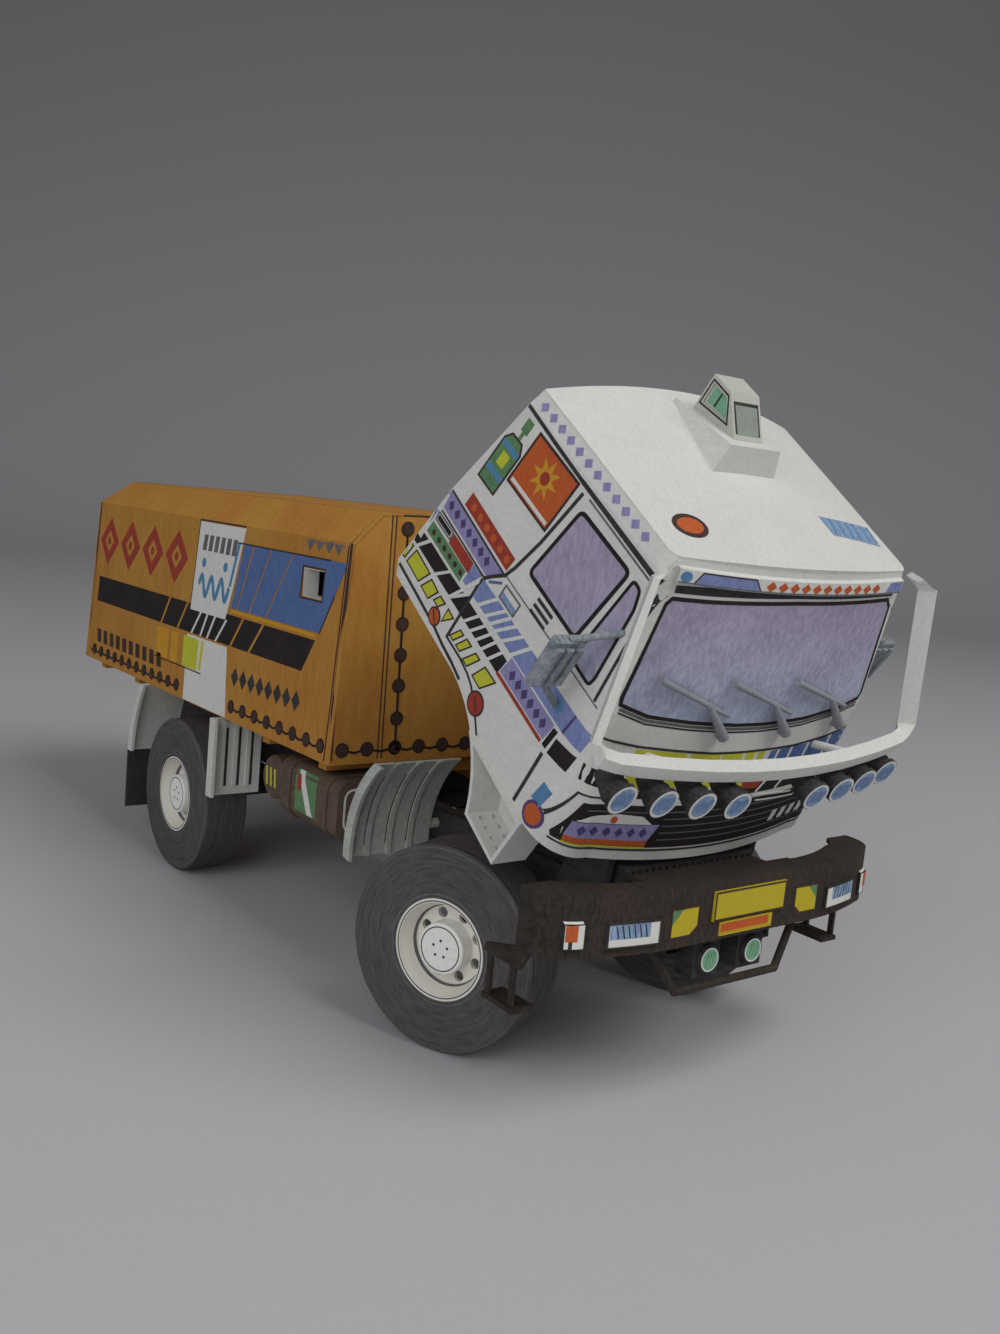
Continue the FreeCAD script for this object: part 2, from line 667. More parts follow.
def fog_lamps():
    """Two round lamps in square housings that hang from the bumper's underside."""
    lamps = []
    half = FOG_HOUSING / 2
    for side in SIDES.values():
        x = side * FOG_LAMP_X
        housing = block(x - half, x + half, FOG_LAMP_Y + 0.6, FOG_LAMP_Y + 4.6,
                        FOG_LAMP_Z - half, BUMPER_BOTTOM)
        lens = rod(V(x, FOG_LAMP_Y - 0.3, FOG_LAMP_Z), V(x, FOG_LAMP_Y + 0.8, FOG_LAMP_Z), FOG_LAMP_RADIUS)
        recess = rod(V(x, FOG_LAMP_Y, FOG_LAMP_Z), V(x, FOG_LAMP_Y + 0.6, FOG_LAMP_Z), FOG_LAMP_RADIUS + 0.3)
        lamps.append(housing.fuse(recess).fuse(lens).removeSplitter())
    return keep_apart(lamps)


def lamp_guard():
    """Bow of round bar below the bumper around the fog lamps."""
    y = FOG_LAMP_Y + 2.0
    corners = [V(-BOW_TOP_X, y, BUMPER_BOTTOM), V(-BOW_BOTTOM_X, y - 1.6, BOW_BOTTOM),
               V(BOW_BOTTOM_X, y - 1.6, BOW_BOTTOM), V(BOW_TOP_X, y, BUMPER_BOTTOM)]
    bow = None
    for start, end in zip(corners, corners[1:]):
        bar = rod(start, end, BOW_RADIUS)
        bow = bar if bow is None else bow.fuse(bar)
    for corner in corners[1:3]:
        bow = bow.fuse(Part.makeSphere(BOW_RADIUS, corner))
    above = block(-BOW_TOP_X - 5, BOW_TOP_X + 5, y - 5, y + 5, BUMPER_BOTTOM, BUMPER_BOTTOM + 5)
    return bow.cut(above).removeSplitter()


# Mudguards
def front_mudguards():
    """Bent sheets behind the front wheels, each with an outer flange, ribs and a carrying rod."""
    toward = (-math.cos(math.radians(12)), -math.sin(math.radians(12)))
    curve = (GUARD_LOW, GUARD_MIDDLE, GUARD_HIGH, toward)
    sheet = arc_band(*curve, CARD, GUARD_INNER, GUARD_OUTER)
    flange = arc_band(*curve, GUARD_FLANGE, GUARD_OUTER - CARD, GUARD_OUTER)
    pieces = [sheet, flange]
    pitch = (GUARD_OUTER - GUARD_INNER) / (GUARD_RIBS + 1)
    for i in range(1, GUARD_RIBS + 1):
        x = GUARD_INNER + pitch * i
        pieces.append(arc_band(*curve, CARD + 0.45, x - GUARD_RIB / 2, x + GUARD_RIB / 2))
    arm_z = RAIL_TOP - 3.0
    pieces.append(rod(V(RAIL_OUTER, GUARD_ARM_Y, arm_z), V(GUARD_OUTER - 6, GUARD_ARM_Y, arm_z), 1.1))
    return both_sides(fuse_all(pieces))


def splash_plates():
    """Ribbed plates ahead of the rear wheels, under the box floor."""
    ahead = SPLASH_Y
    top = BOX_BOTTOM
    plate = block(REAR_GUARD_INNER, REAR_GUARD_OUTER, ahead - CARD, ahead, REAR_GUARD_BOTTOM, top)
    wing = block(REAR_GUARD_OUTER - CARD, REAR_GUARD_OUTER, ahead - 3.0, ahead, REAR_GUARD_BOTTOM, top)
    pieces = [plate, wing]
    pitch = (REAR_GUARD_OUTER - REAR_GUARD_INNER) / (GUARD_RIBS + 1)
    for i in range(1, GUARD_RIBS + 1):
        x = REAR_GUARD_INNER + pitch * i
        pieces.append(block(x - GUARD_RIB / 2, x + GUARD_RIB / 2, ahead - CARD - 0.4, ahead - CARD,
                            REAR_GUARD_BOTTOM + 2, top - 1))
    front_part = fuse_all(pieces)
    outside = block(BOX_HALF_BOTTOM - 0.6, 60, ahead - 10, ahead + 10, BOX_BOTTOM - 0.4, 60)
    return both_sides(front_part.cut(outside))


def rear_mudguards():
    """Bent guards behind the rear wheels, under the box floor."""
    top = BOX_BOTTOM
    low = (WHEELBASE + REAR_GUARD_BEHIND + 5.0, REAR_GUARD_BOTTOM)
    middle = (WHEELBASE + REAR_GUARD_BEHIND + 2.6, 36.0)
    high = (WHEELBASE + REAR_GUARD_BEHIND - 2.0, top)
    toward = (-1.0, 0.0)
    sheet = arc_band(low, middle, high, toward, CARD, REAR_GUARD_INNER, REAR_GUARD_OUTER)
    flange = arc_band(low, middle, high, toward, GUARD_FLANGE, REAR_GUARD_OUTER - CARD, REAR_GUARD_OUTER)
    outside = block(BOX_HALF_BOTTOM - 0.6, 60, WHEELBASE, WHEELBASE + 60, BOX_BOTTOM - 0.4, 60)
    return both_sides(fuse_all([sheet, flange]).cut(outside))


def mudflaps():
    """Flat dark flaps that hang from the guards behind the rear wheels."""
    y = WHEELBASE + REAR_GUARD_BEHIND + 5.0
    flap = block(REAR_GUARD_INNER, REAR_GUARD_OUTER, y - CARD, y, FLAP_BOTTOM, REAR_GUARD_BOTTOM)
    return both_sides(flap)


# Tanks
def fuel_tanks():
    """Tanks with a rounded section along the truck, each with two straps and brackets to its rail."""
    wide = TANK_OUTER - TANK_INNER
    high = TANK_TOP - TANK_BOTTOM
    body = block(TANK_INNER, TANK_OUTER, TANK_FRONT, TANK_FRONT + TANK_LENGTH, TANK_BOTTOM, TANK_TOP)
    long_edges = [edge for edge in body.Edges if edge.BoundBox.YLength > TANK_LENGTH - 1]
    body = body.makeFillet(TANK_CORNER, long_edges)
    pieces = [body]
    for y in (TANK_FRONT + 4.0, TANK_FRONT + TANK_LENGTH - 5.5):
        strap = Part.makeBox(wide + 0.8, 1.5, high + 0.8, V(TANK_INNER - 0.4, y, TANK_BOTTOM - 0.4))
        edges = [edge for edge in strap.Edges if abs(edge.BoundBox.YLength - 1.5) < 0.01]
        pieces.append(strap.makeFillet(TANK_CORNER + 0.4, edges))
        pieces.append(block(RAIL_OUTER, TANK_INNER + 2, y, y + 1.5, RAIL_BOTTOM + 1.5, RAIL_TOP - 1))
    return both_sides(fuse_all(pieces))


def air_tank():
    """Round tank across the truck on the right, with a domed end and a bracket."""
    z = 34.6
    body = rod(V(-AIR_TANK_OUTER, AIR_TANK_Y, z), V(-AIR_TANK_INNER, AIR_TANK_Y, z), AIR_TANK_RADIUS)
    rims = [edge for edge in body.Edges if edge.Closed]
    body = body.makeFillet(1.2, rims)
    bracket = block(-AIR_TANK_INNER - 1, -RAIL_OUTER, AIR_TANK_Y - 2, AIR_TANK_Y + 2, z - 3, RAIL_TOP - 1)
    return body.fuse(bracket).removeSplitter()


def battery_box():
    """Ribbed box on the left rail."""
    y0 = TANK_FRONT + TANK_LENGTH + 3.0
    body = block(AIR_TANK_INNER, 33.0, y0, y0 + 11.0, 29.2, 39.4)
    for i in range(4):
        z = 31.0 + 2.2 * i
        body = body.cut(block(32.5, 34.0, y0 + 1.0, y0 + 10.0, z, z + 0.9))
    bracket = block(RAIL_OUTER, AIR_TANK_INNER, y0 + 3, y0 + 8, 30.0, RAIL_TOP - 1)
    return body.fuse(bracket).removeSplitter()


# Box body
def box_section(y, wall=0.0, bottom_in=0.0):
    """Six-cornered section of the box body, moved inwards by a wall."""
    side_in = wall
    points = [(-BOX_HALF_BOTTOM + side_in, BOX_BOTTOM - bottom_in),
              (-BOX_HALF_TOP + side_in, BOX_SHOULDER - wall * 0.35),
              (-ROOF_HALF + wall * 0.45, ROOF_Z - wall),
              (ROOF_HALF - wall * 0.45, ROOF_Z - wall),
              (BOX_HALF_TOP - side_in, BOX_SHOULDER - wall * 0.35),
              (BOX_HALF_BOTTOM - side_in, BOX_BOTTOM - bottom_in)]
    return [V(x, y, z) for x, z in points]


def box_solid(wall=0.0):
    """Solid of the box body, with the slope at the top of its rear, moved inwards by a wall."""
    front = BOX_FRONT + wall
    rear = BOX_REAR - wall
    body = prism(box_section(front, wall, wall), V(0, rear - front, 0))
    slope = [(rear + 0.01, BOX_SHOULDER), (rear - REAR_HIP, ROOF_Z - wall),
             (rear - REAR_HIP, ROOF_Z + 20), (rear + 20, ROOF_Z + 20), (rear + 20, BOX_SHOULDER)]
    return body.cut(profile_x(slope, -60, 60))


def box_panels():
    """The five card panels of the box body."""
    shell = box_solid().cut(box_solid(BOX_WALL))
    far = 300
    front_slab = block(-far, far, -far, BOX_FRONT + BOX_WALL, -far, far)
    low_slab = block(-far, far, -far, far, -far, BOX_SHOULDER)
    rear_slab = block(-far, far, BOX_REAR - BOX_WALL, far, -far, far)
    right_slab = block(-far, 0, -far, far, -far, far)
    front = shell.common(front_slab)
    rest = shell.cut(front_slab)
    roof = rest.cut(low_slab)
    low = rest.common(low_slab)
    rear = low.common(rear_slab)
    sides = low.cut(rear_slab)
    right = sides.common(right_slab)
    left = sides.cut(right_slab)
    window = block(-far, -20, WINDOW_FRONT, WINDOW_FRONT + WINDOW_LENGTH,
                   WINDOW_BOTTOM, WINDOW_BOTTOM + WINDOW_HEIGHT)
    right = right.cut(window)
    return {"box_front": front, "box_roof": roof, "box_rear": rear, "box_right": right, "box_left": left}


def body_floor():
    """Floor of the box body between its walls."""
    inner = BOX_HALF_BOTTOM - BOX_WALL - TOUCH_GAP
    return block(-inner, inner, BOX_FRONT + BOX_WALL, BOX_REAR - BOX_WALL, BOX_BOTTOM,
                 BOX_BOTTOM + FLOOR_THICKNESS)


def body_bearers():
    """Two long packers on the rails and cross bearers under the floor."""
    middle = (RAIL_TOP + BOX_BOTTOM) / 2
    pieces = []
    for side in SIDES.values():
        x = side * (RAIL_OUTER - 2.0)
        pieces.append(block(x - 1.8, x + 1.8, BOX_FRONT + 1, RAIL_REAR - 2, RAIL_TOP, middle))
    pitch = (BOX_REAR - BOX_FRONT - 12 - BEARER_WIDTH) / (BEARER_COUNT - 1)
    for i in range(BEARER_COUNT):
        y = BOX_FRONT + 6 + pitch * i
        near_wheel = abs(y + BEARER_WIDTH / 2 - WHEELBASE) < REAR_GUARD_AHEAD + BEARER_WIDTH / 2 + BEARER_GAP
        reach = 25.0 if near_wheel else BOX_HALF_BOTTOM - 3.0
        pieces.append(block(-BEARER_HALF, BEARER_HALF, y, y + BEARER_WIDTH, middle, BOX_BOTTOM))
        pieces.append(block(-reach, reach, y, y + BEARER_WIDTH, BEARER_END_Z, BOX_BOTTOM))
    return fuse_all(pieces)


# Cab
def cab_levels():
    """The cab's four levels from the lowest to the highest."""
    return (SILL, BELT, GUTTER, CREASE)


def stack(wires):
    """Solid through a pile of closed wires, with straight walls between them."""
    body = None
    for low, high in zip(wires, wires[1:]):
        part = Part.makeLoft([low, high], True, True)
        body = part if body is None else body.fuse(part)
    return body


def cab_solid(front_in=0.0):
    """Solid inside the closed cab's outline, with its front moved inwards."""
    wires = [level.wire(front_in) for level in cab_levels()]
    column = Part.Face(wires[-1]).extrude(V(0, 0, 20))
    column.translate(V(0, 0, -1.0))
    crown = column.cut(above_roof(0.0))
    return stack(wires).fuse(crown).removeSplitter()


def above_roof(top_in):
    """Space above the crowned roof, which is flatter at its front than at its rear."""
    half = CREASE.rear_half + 1.0
    edge_z = CREASE_Z - top_in
    high = CREASE_Z + 40
    wires = []
    for y, crown in ((CREASE.front_y - 3, CROWN_FRONT), (CREASE.rear_y + 3, CROWN_REAR)):
        curve = Part.Arc(V(-half, y, edge_z), V(0, y, edge_z + crown), V(half, y, edge_z)).toShape()
        left = Part.LineSegment(V(-half, y, high), V(-half, y, edge_z)).toShape()
        right = Part.LineSegment(V(half, y, edge_z), V(half, y, high)).toShape()
        lid = Part.LineSegment(V(half, y, high), V(-half, y, high)).toShape()
        wires.append(Part.Wire([left, curve, right, lid]))
    return Part.makeLoft(wires, True, True)


def cab_between_sides(wall):
    """Space between the cab's two sides, moved inwards by a wall."""
    wires = [level.between_sides(wall) for level in cab_levels()]
    wires.append(CREASE.between_sides(wall, 10))
    return stack(wires)


def cab_ahead_of_rear(wall):
    """Space ahead of the cab's rear, moved inwards by a wall."""
    wires = [level.ahead_of(level.rear_y - wall) for level in cab_levels()]
    wires.append(CREASE.ahead_of(CREASE.rear_y - wall, 10))
    return stack(wires)


def cab_ahead_of_sides():
    """Space ahead of the cab's side lines, where the front panel with its corners lies."""
    wires = [level.ahead_of(level.side_start() + CAB_WALL) for level in cab_levels()]
    wires.append(CREASE.ahead_of(CREASE.side_start() + CAB_WALL, 10))
    return stack(wires)


def side_region(inset=0.0):
    """Region of the side view that the cab keeps: above sill, wheel arch and low rear edge."""
    arch_top = ARCH_Z + ARCH_RADIUS + inset
    radius = ARCH_RADIUS + inset
    sill = SILL_Z - 0.01
    sill_y = ARCH_Y - math.sqrt(radius ** 2 - (SILL_Z - ARCH_Z) ** 2)
    angle = math.radians(90 + 25)
    mid = V(0, ARCH_Y + radius * math.cos(angle), ARCH_Z + radius * math.sin(angle))
    far = 90.0
    low_rear = CAB_REAR_LOW_Y - CAB_REAR_CUT
    foot = V(0, CAB_REAR_LOW_Y - inset, CAB_REAR_LOW_Z + inset)
    heel = V(0, CAB_REAR_LOW_Y + 8 - inset, CAB_REAR_LOW_Z + inset)
    pieces = [
        Part.LineSegment(V(0, -far, sill), V(0, sill_y, sill)),
        Part.Arc(V(0, sill_y, sill), mid, V(0, ARCH_Y, arch_top)),
        Part.LineSegment(V(0, ARCH_Y, arch_top), V(0, low_rear - inset, arch_top)),
        Part.LineSegment(V(0, low_rear - inset, arch_top), foot),
        Part.LineSegment(foot, heel),
        Part.LineSegment(heel, V(0, far, far * 2)),
        Part.LineSegment(V(0, far, far * 2), V(0, -far, far * 2)),
        Part.LineSegment(V(0, -far, far * 2), V(0, -far, sill)),
    ]
    wire = Part.Wire([piece.toShape() for piece in pieces])
    face = Part.Face(wire)
    face.translate(V(-60, 0, 0))
    return face.extrude(V(120, 0, 0))


def cab_panels():
    """Front, sides, rear and roof of the closed cab, peeled from the outside to the inside."""
    whole = cab_solid()
    behind_front = cab_solid(CAB_WALL)
    between = cab_between_sides(CAB_WALL)
    ahead = cab_ahead_of_rear(CAB_WALL)
    keep = side_region()
    right_half = block(-100, 0, -100, 100, 0, 200)
    upper = block(-100, 100, -100, 100, CREASE_Z - 3, 200)
    front = whole.cut(behind_front).common(cab_ahead_of_sides()).common(keep)
    board = cab_solid(-VISOR_PROUD).cut(whole)
    board = board.common(block(-VISOR_HALF, VISOR_HALF, -100, 0, VISOR_BOTTOM, VISOR_TOP))
    front = front.fuse(board)
    sides = behind_front.cut(between).common(keep)
    middle = behind_front.common(between)
    rear = middle.cut(ahead).common(keep)
    roof = middle.common(ahead).common(above_roof(CAB_WALL)).common(upper)
    band = keep.cut(side_region(FLARE_WIDTH)).common(block(-60, 60, -20, 60, 0, 70))
    flare = cab_between_sides(-FLARE_PROUD).cut(cab_between_sides(0)).common(band)
    flare = flare.common(cab_ahead_of_rear(0))
    sides = sides.fuse(flare)
    return {
        "cab_front": largest(front),
        "cab_side_right": largest(sides.common(right_half)),
        "cab_side_left": largest(sides.cut(right_half)),
        "cab_rear": largest(rear),
        "cab_roof": largest(roof),
    }


def largest(shape):
    """The biggest solid of a shape, without slivers."""
    return sorted(shape.Solids, key=lambda solid: solid.Volume)[-1]


def cab_floor():
    """Floor plate inside the cab's walls, behind the arms of the tilt bracket."""
    slab = block(-60, 60, -12.0, 60, FLOOR_Z - CAB_WALL, FLOOR_Z)
    inside = cab_between_sides(CAB_WALL).common(cab_ahead_of_rear(CAB_WALL))
    return largest(slab.common(inside))


def cab_steps():
    """Pockets ahead of the wheel arches, open to the outside, with drilled treads."""
    outer = SILL.rear_half - 0.4
    top = SILL_Z - 0.02
    wall = CARD
    body = step_outline(0.0, top, STEP_INNER, outer)
    hollow = step_outline(wall, top - wall, STEP_INNER + wall, outer + 5)
    pocket = body.cut(hollow)
    for row in range(2):
        for i in range(4):
            x = STEP_INNER + 2.4 + 3.0 * row
            y = STEP_FRONT + 2.6 + 2.3 * i
            pocket = pocket.cut(rod(V(x, y, STEP_BOTTOM - 2), V(x, y, STEP_BOTTOM + 2), 0.45))
    return both_sides(largest(pocket))


def step_outline(inset, top, x0, x1):
    """Step's side view swept along X: upright front, flat tread and the arch as its rear."""
    radius = ARCH_RADIUS + inset
    bottom = STEP_BOTTOM + inset
    y_low = ARCH_Y - math.sqrt(radius ** 2 - (bottom - ARCH_Z) ** 2)
    y_high = ARCH_Y - math.sqrt(radius ** 2 - (top - ARCH_Z) ** 2)
    mid_z = (bottom + top) / 2
    y_mid = ARCH_Y - math.sqrt(radius ** 2 - (mid_z - ARCH_Z) ** 2)
    front = STEP_FRONT + inset
    pieces = [
        Part.LineSegment(V(x0, front, top), V(x0, front, bottom)),
        Part.LineSegment(V(x0, front, bottom), V(x0, y_low, bottom)),
        Part.Arc(V(x0, y_low, bottom), V(x0, y_mid, mid_z), V(x0, y_high, top)),
        Part.LineSegment(V(x0, y_high, top), V(x0, front, top)),
    ]
    return Part.Face(Part.Wire([piece.toShape() for piece in pieces])).extrude(V(x1 - x0, 0, 0))


def hinge_lug(inside):
    """Left lug behind the front panel with the bore for the pin."""
    x0 = ARM_X + ARM_THICKNESS + TOUCH_GAP
    x1 = x0 + LUG_THICKNESS
    low = PIVOT_Z - EYE_RADIUS
    high = PIVOT_Z + EYE_RADIUS
    far = PIVOT_Y - 20
    plate = profile_x([(PIVOT_Y + 1.0, low), (PIVOT_Y + 1.0, high), (far, high + 4), (far, low)], x0, x1)
    eye = rod(V(x0, PIVOT_Y, PIVOT_Z), V(x1, PIVOT_Y, PIVOT_Z), EYE_RADIUS)
    lug = plate.fuse(eye).common(inside)
    bore = rod(V(x0 - 1, PIVOT_Y, PIVOT_Z), V(x1 + 1, PIVOT_Y, PIVOT_Z), PIN_RADIUS + PIN_GAP)
    return largest(lug.cut(bore))


def roof_hatch_base(whole):
    """Low wedge on the roof, high at its front."""
    rear = 16.0
    front = -3.0
    top_z = CREASE_Z + 7.6
    low = [V(-8.8, front, CREASE_Z), V(8.8, front, CREASE_Z), V(6.5, rear, CREASE_Z), V(-6.5, rear, CREASE_Z)]
    high = [V(-6.4, front + 1.6, top_z), V(6.4, front + 1.6, top_z), V(5.4, rear, CREASE_Z + 4.8),
            V(-5.4, rear, CREASE_Z + 4.8)]
    wires = [Part.makePolygon(low + [low[0]]), Part.makePolygon(high + [high[0]])]
    return largest(Part.makeLoft(wires, True, True).cut(whole))


def roof_hatch(base, whole):
    """Small cupola on the wedge with a slanted front and window openings in its sides."""
    half = 3.7
    body = profile_x([(0.9, CREASE_Z + 4.0), (0.9, CREASE_Z + 7.3), (7.4, CREASE_Z + 12.6),
                      (12.7, CREASE_Z + 12.6), (12.7, CREASE_Z + 4.0)], -half, half)
    pane = profile_x([(4.6, CREASE_Z + 8.3), (7.6, CREASE_Z + 11.4), (11.6, CREASE_Z + 11.4),
                      (11.6, CREASE_Z + 7.4)], -half - 1, -half + 0.5)
    body = body.cut(pane).cut(mirrored(pane))
    return largest(body.cut(base).cut(whole))


def front_surface(x, z):
    """Point of the cab's bowed front at a width and a height, and the way it faces there."""
    low, high = (SILL, BELT) if z < BELT_Z else (BELT, GUTTER)
    rise = (z - low.z) / (high.z - low.z)
    half = (1 - rise) * low.front_at(1)[0] + rise * high.front_at(1)[0]
    share = x / half
    low_y = low.front_at(share)[1]
    high_y = high.front_at(share)[1]
    bow = (1 - rise) * low.bow + rise * high.bow
    point = V(x, (1 - rise) * low_y + rise * high_y, z)
    facing = V(2 * bow * share / half, -1, (high_y - low_y) / (high.z - low.z))
    return point, facing.normalize()


def off_front(x, z, distance):
    """Point at a distance in front of the cab's front surface."""
    point, facing = front_surface(x, z)
    return point.add(facing.multiply(distance))


def bar_point(x):
    """Middle of the bull bar's bowed lower run at a width."""
    return V(x, BAR_FRONT + BAR_BOW * x * x, BAR_Z)


def bar_section(middle, across, upward, half_across, half_up):
    """Four-cornered section of the bull bar."""
    a = V(across).normalize().multiply(half_across)
    b = V(upward).normalize().multiply(half_up)
    corners = [middle.add(a).add(b), middle.add(a).sub(b), middle.sub(a).sub(b), middle.sub(a).add(b)]
    return Part.makePolygon(corners + [corners[0]])


def bull_bar_run():
    """Left half of the bar's lower run: a square folded tube that follows its bow."""
    sections = []
    for x in (0.0, 8.7, 17.3, 26.0, 32.0):
        slope = 2 * BAR_BOW * x
        sections.append(bar_section(bar_point(x), V(slope, -1, 0), Z_AXIS, BAR_HALF, BAR_HALF))
    slim = 0.85 * BAR_HALF
    bend = V(36.0, bar_point(36.0).y, BAR_Z + 0.1)
    sections.append(bar_section(bend, V(0.4, -0.92, 0), Z_AXIS, BAR_HALF, slim))
    corner = V(BAR_CORNER_X + 0.8, BAR_CORNER_Y + 0.6, BAR_Z + 0.5)
    sections.append(bar_section(corner, V(0.62, -0.78, 0), V(-0.4, 0, 1), BAR_HALF, slim))
    return sections


def bull_bar_leg():
    """Sections of the left leg: a flat strip that stands on edge towards the cab."""
    foot = V(BAR_LEG_X, BAR_LEG_Y, BAR_LEG_Z)
    shoulder = V(*BAR_SHOULDER)
    roof_end = V(*BAR_ROOF_END)
    along = shoulder.sub(foot).normalize()
    front = V(0.62, -0.78, 0)
    front = front.sub(V(along).multiply(front.dot(along))).normalize()
    inward = front.cross(along)
    flat = V(front.x, front.y, 0)
    return [bar_section(foot, front, inward, BAR_LEG_WIDE, BAR_LEG_HALF + 0.15),
            bar_section(shoulder, front, inward, BAR_LEG_WIDE, BAR_LEG_HALF),
            bar_section(roof_end, flat, V(-0.4, 0.1, -0.9), BAR_HALF, BAR_LEG_HALF)]


def bull_bar():
    """White bar from one roof corner down, across below the windscreen and up to the other."""
    half = Part.makeLoft(bull_bar_run() + bull_bar_leg(), True, True)
    start = bar_point(BAR_STALK_X)
    end = V(BAR_STALK_X, start.y + 16.0, BAR_Z - 12.0)
    stalk = rod(start, end, BAR_STALK_RADIUS)
    stalk = largest(stalk.cut(cab_solid()))
    half = half.fuse(stalk)
    return half.fuse(mirrored(half)).removeSplitter()


def spotlights():
    """Eight round lamps that hang on pegs under the bar: a rimmed lens before a short cone."""
    lamps = []
    rise = math.radians(LAMP_RISE)
    back = V(0, math.cos(rise), -math.sin(rise))
    for x in LAMP_PLACES:
        seat = bar_point(x)
        middle = V(x, LAMP_FACE + LAMP_BOW * x * x, LAMP_Z)
        stations = [middle.add(V(back).multiply(reach)) for reach in (0, 0.8, 2.2, LAMP_LENGTH)]
        rim_ring = rod(stations[0], stations[1], LAMP_RADIUS + LAMP_RIM)
        shell = taper(stations[1], stations[2], LAMP_RADIUS - 0.3, LAMP_RADIUS)
        cone = taper(stations[2], stations[3], LAMP_RADIUS, 1.1)
        peg = rod(V(x, seat.y, LAMP_Z - 0.4), V(x, seat.y, BAR_Z - BAR_HALF - 0.05), 0.7)
        lamp = fuse_all([rim_ring, shell, cone, peg])
        lamps.append(lamp)
        lamps.append(mirrored(lamp))
    return keep_apart(lamps)


def wipers():
    """Three wipers: a rolled arm from its pivot and a thin blade across the arm's end."""
    pieces = []
    for i in range(3):
        x = -7.4 + 16.4 * i
        pivot = off_front(x, WIPER_Z, 1.5)
        seat = off_front(x, WIPER_Z, 0.15)
        joint = off_front(x - 6.2, WIPER_Z + 5.9, 1.4)
        far_end = off_front(x - 18.4, WIPER_Z + 9.7, 1.2)
        near_end = off_front(x - 0.6, WIPER_Z + 3.9, 1.2)
        arm = taper(pivot, joint, 1.0, 0.5)
        blade = taper(far_end, near_end, 0.62, 0.42)
        pin = rod(pivot, seat, 0.8)
        pieces.append(fuse_all([arm, blade, pin]))
    return keep_apart(pieces)


def mirrors(whole):
    """Mirror heads with three lobes, each on two arms from the cab's corner and side."""
    head = block(37.6, 44.0, -24.6, -22.6, 72.8, 82.6)
    upright = [edge for edge in head.Edges if edge.BoundBox.ZLength > 5]
    head = head.makeFillet(0.6, upright)
    for i in range(3):
        x = 38.75 + 2.05 * i
        lobe = rod(V(x, -24.6, 73.8), V(x, -24.6, 81.6), 0.85)
        head = head.fuse(lobe)
    upper = rod(V(40.8, -23.6, 82.4), V(29.0, -25.6, 86.6), 0.6)
    lower = rod(V(40.8, -23.6, 73.0), V(30.0, -23.4, 63.0), 0.6)
    return both_sides(largest(fuse_all([head, upper, lower]).cut(whole)))


# Wheels
def tyre(face):
    """Left tyre with flat sides, as rolled card has, and slightly broken edges."""
    inner = face - TYRE_WIDTH
    edge = TYRE_EDGE
    points = [V(inner, 0, RIM_RADIUS), V(inner, 0, TYRE_RADIUS - edge), V(inner + edge, 0, TYRE_RADIUS),
              V(face - edge, 0, TYRE_RADIUS), V(face, 0, TYRE_RADIUS - edge), V(face, 0, RIM_RADIUS)]
    ring = Part.Face(Part.makePolygon(points + [points[0]])).revolve(ORIGIN, X_AXIS, 360)
    ring.translate(V(0, 0, TYRE_RADIUS))
    return ring


def rim(face):
    """Left rim: a barrel, a rolled lip, a slanted well and a disc with round holes."""
    inner = face - TYRE_WIDTH
    barrel = RIM_RADIUS - RIM_WALL
    disc_out = face - RIM_DISC_DEPTH
    disc_in = disc_out - RIM_DISC_THICKNESS
    well = 7.4
    points = [V(inner, 0, RIM_RADIUS), V(face, 0, RIM_RADIUS), V(face, 0, RIM_RADIUS - RIM_LIP),
              V(face - 0.8, 0, RIM_RADIUS - RIM_LIP - 0.2), V(disc_out, 0, well), V(disc_out, 0, WHEEL_BORE),
              V(disc_in, 0, WHEEL_BORE), V(disc_in, 0, barrel), V(inner, 0, barrel)]
    wheel = Part.Face(Part.makePolygon(points + [points[0]])).revolve(ORIGIN, X_AXIS, 360)
    circle = (well + HUB_RADIUS) / 2
    for i in range(HAND_HOLES):
        angle = 2 * math.pi * (i + 0.5) / HAND_HOLES
        centre = V(disc_in - 1, circle * math.cos(angle), circle * math.sin(angle))
        wheel = wheel.cut(Part.makeCylinder(HAND_HOLE_RADIUS, 4, centre, X_AXIS))
    wheel.translate(V(0, 0, TYRE_RADIUS))
    return wheel


def hub(face):
    """Left hub: a round cap with five studs, closed in front of the stub."""
    outer = face - HUB_SINK
    base = face - RIM_DISC_DEPTH
    cap = Part.makeCylinder(HUB_RADIUS, outer - base, V(base, 0, 0), X_AXIS)
    rims = [edge for edge in cap.Edges if edge.Closed and abs(edge.BoundBox.XMin - outer) < 0.01]
    cap = cap.makeFillet(0.4, rims)
    cap = cap.cut(Part.makeCylinder(WHEEL_BORE, outer - base - 1.0, V(base, 0, 0), X_AXIS))
    for i in range(HUB_STUDS):
        angle = 2 * math.pi * i / HUB_STUDS - math.pi / 2
        centre = V(outer - 0.2, HUB_STUD_CIRCLE * math.cos(angle), HUB_STUD_CIRCLE * math.sin(angle))
        cap = cap.fuse(Part.makeCylinder(HUB_STUD_RADIUS, HUB_STUD_HEIGHT + 0.2, centre, X_AXIS))
    cap.translate(V(0, 0, TYRE_RADIUS))
    return cap.removeSplitter()


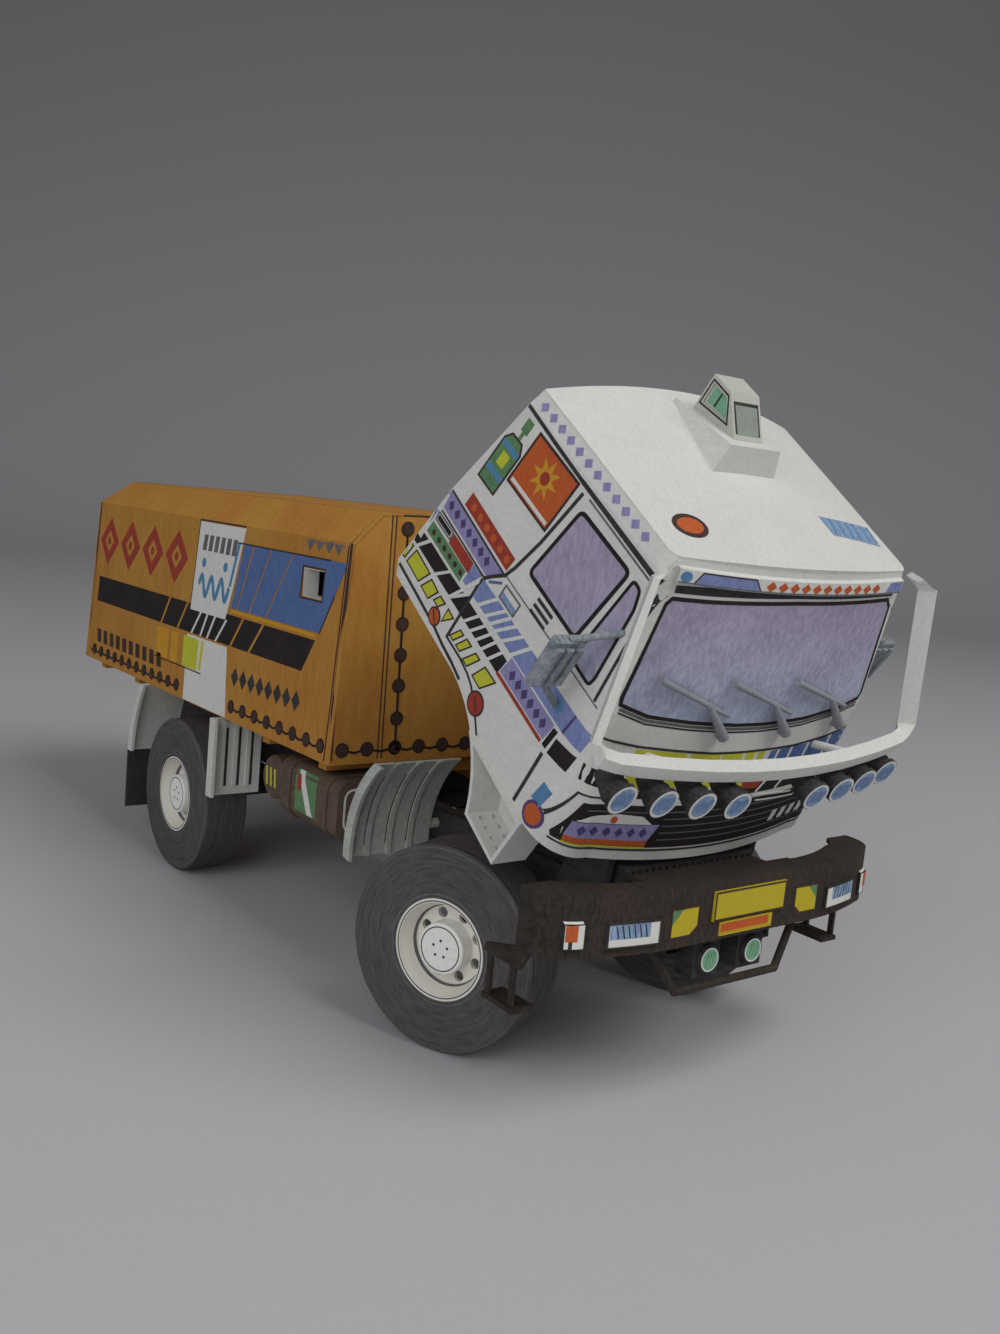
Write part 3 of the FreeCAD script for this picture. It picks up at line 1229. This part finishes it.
def knuckle():
    """Left knuckle: a fork around the axle's boss, the kingpin and the wheel's stub."""
    boss_half = KINGPIN_BOSS_HEIGHT / 2
    gap = TOUCH_GAP
    z = TYRE_RADIUS
    low = z - boss_half - gap - FORK_THICKNESS
    high = z + boss_half + gap
    web_in = KINGPIN_X + KINGPIN_BOSS_RADIUS + gap
    web_out = web_in + 1.2
    pieces = []
    for base in (low, high):
        pieces.append(Part.makeCylinder(FORK_RADIUS, FORK_THICKNESS, V(KINGPIN_X, 0, base)))
        pieces.append(block(KINGPIN_X, web_out, -FORK_RADIUS, FORK_RADIUS, base, base + FORK_THICKNESS))
    pieces.append(block(web_in, web_out, -FORK_RADIUS, FORK_RADIUS, low, high + FORK_THICKNESS))
    pieces.append(Part.makeCylinder(KINGPIN_RADIUS, high + FORK_THICKNESS - low, V(KINGPIN_X, 0, low)))
    end = FRONT_WHEEL_FACE - HUB_SINK - 1.4
    pieces.append(rod(V(web_in, 0, z), V(end, 0, z), STUB_RADIUS))
    return fuse_all(pieces)


def place_front(shape, side):
    """Put a left front piece on its side of the truck and steer it."""
    placed = shape if side > 0 else mirrored(shape)
    return steer(placed, side)


def place_rear(shape, side):
    """Put a left wheel piece on its side of the rear axle."""
    placed = shape.copy() if side > 0 else mirrored(shape)
    placed.translate(V(0, WHEELBASE, 0))
    return placed


# Assembly
def save_chassis():
    """Frame, axles, springs, engine and what hangs on the frame."""
    save("frame_rails", both_sides(frame_rail().fuse(bumper_bracket()).removeSplitter()))
    save("crossmembers", crossmembers())
    save("front_axle", front_axle())
    save("rear_axle", rear_axle())
    for name, y, seat_z in (("front_springs", 0.0, FRONT_SEAT_Z), ("rear_springs", WHEELBASE, REAR_SEAT_Z)):
        packs = []
        for side in SIDES.values():
            hangers = spring_hanger(y, side)
            packs.append(fuse_all([leaf_spring(y, seat_z, side)] + hangers))
        save(name, keep_apart(packs))
    save("engine_block", engine())
    save("drive_shaft", drive_shaft())
    save("radiator", radiator())
    save("tilt_bracket", both_sides(tilt_arm()))
    save("cab_rest", cab_rest())
    save("bumper", bumper())
    save("bumper_steps", bumper_steps())
    save("bumper_lamps", bumper_lamps())
    save("number_plate", number_plate())
    save("fog_lamps", fog_lamps())
    save("lamp_guard", lamp_guard())
    save("front_mudguards", front_mudguards())
    save("splash_plates", splash_plates())
    save("rear_mudguards", rear_mudguards())
    save("mudflaps", mudflaps())
    save("fuel_tanks", fuel_tanks())
    save("air_tank", air_tank())
    save("battery_box", battery_box())


def save_box():
    """Box body on its floor and bearers."""
    save("body_bearers", body_bearers())
    save("body_floor", body_floor())
    for name, panel in box_panels().items():
        save(name, panel)


def save_cab():
    """Cab panels and what is fixed on them, all tilted together."""
    whole = cab_solid()
    for name, panel in cab_panels().items():
        save(name, tilt(panel))
    save("cab_floor", tilt(cab_floor()))
    save("cab_steps", tilt(cab_steps()))
    save("mirrors", tilt(mirrors(whole)))
    save("hinge_lugs", tilt(both_sides(hinge_lug(cab_solid(CAB_WALL)))))
    base = roof_hatch_base(whole)
    save("roof_hatch_base", tilt(base))
    save("roof_hatch", tilt(roof_hatch(base, whole)))
    save("bull_bar", tilt(bull_bar()))
    save("spotlights", tilt(spotlights()))
    save("wipers", tilt(wipers()))


def save_wheels():
    """Knuckles and the tyre, rim and hub of each wheel."""
    for name, side in SIDES.items():
        save("knuckle_" + name, place_front(knuckle(), side))
        for piece, maker in (("tyre", tyre), ("rim", rim), ("hub", hub)):
            save(piece + "_front_" + name, place_front(maker(FRONT_WHEEL_FACE), side))
            save(piece + "_rear_" + name, place_rear(maker(REAR_WHEEL_FACE), side))


def main():
    """Write every piece of the truck."""
    os.makedirs("parts", exist_ok=True)
    save_chassis()
    save_box()
    save_cab()
    save_wheels()


main()
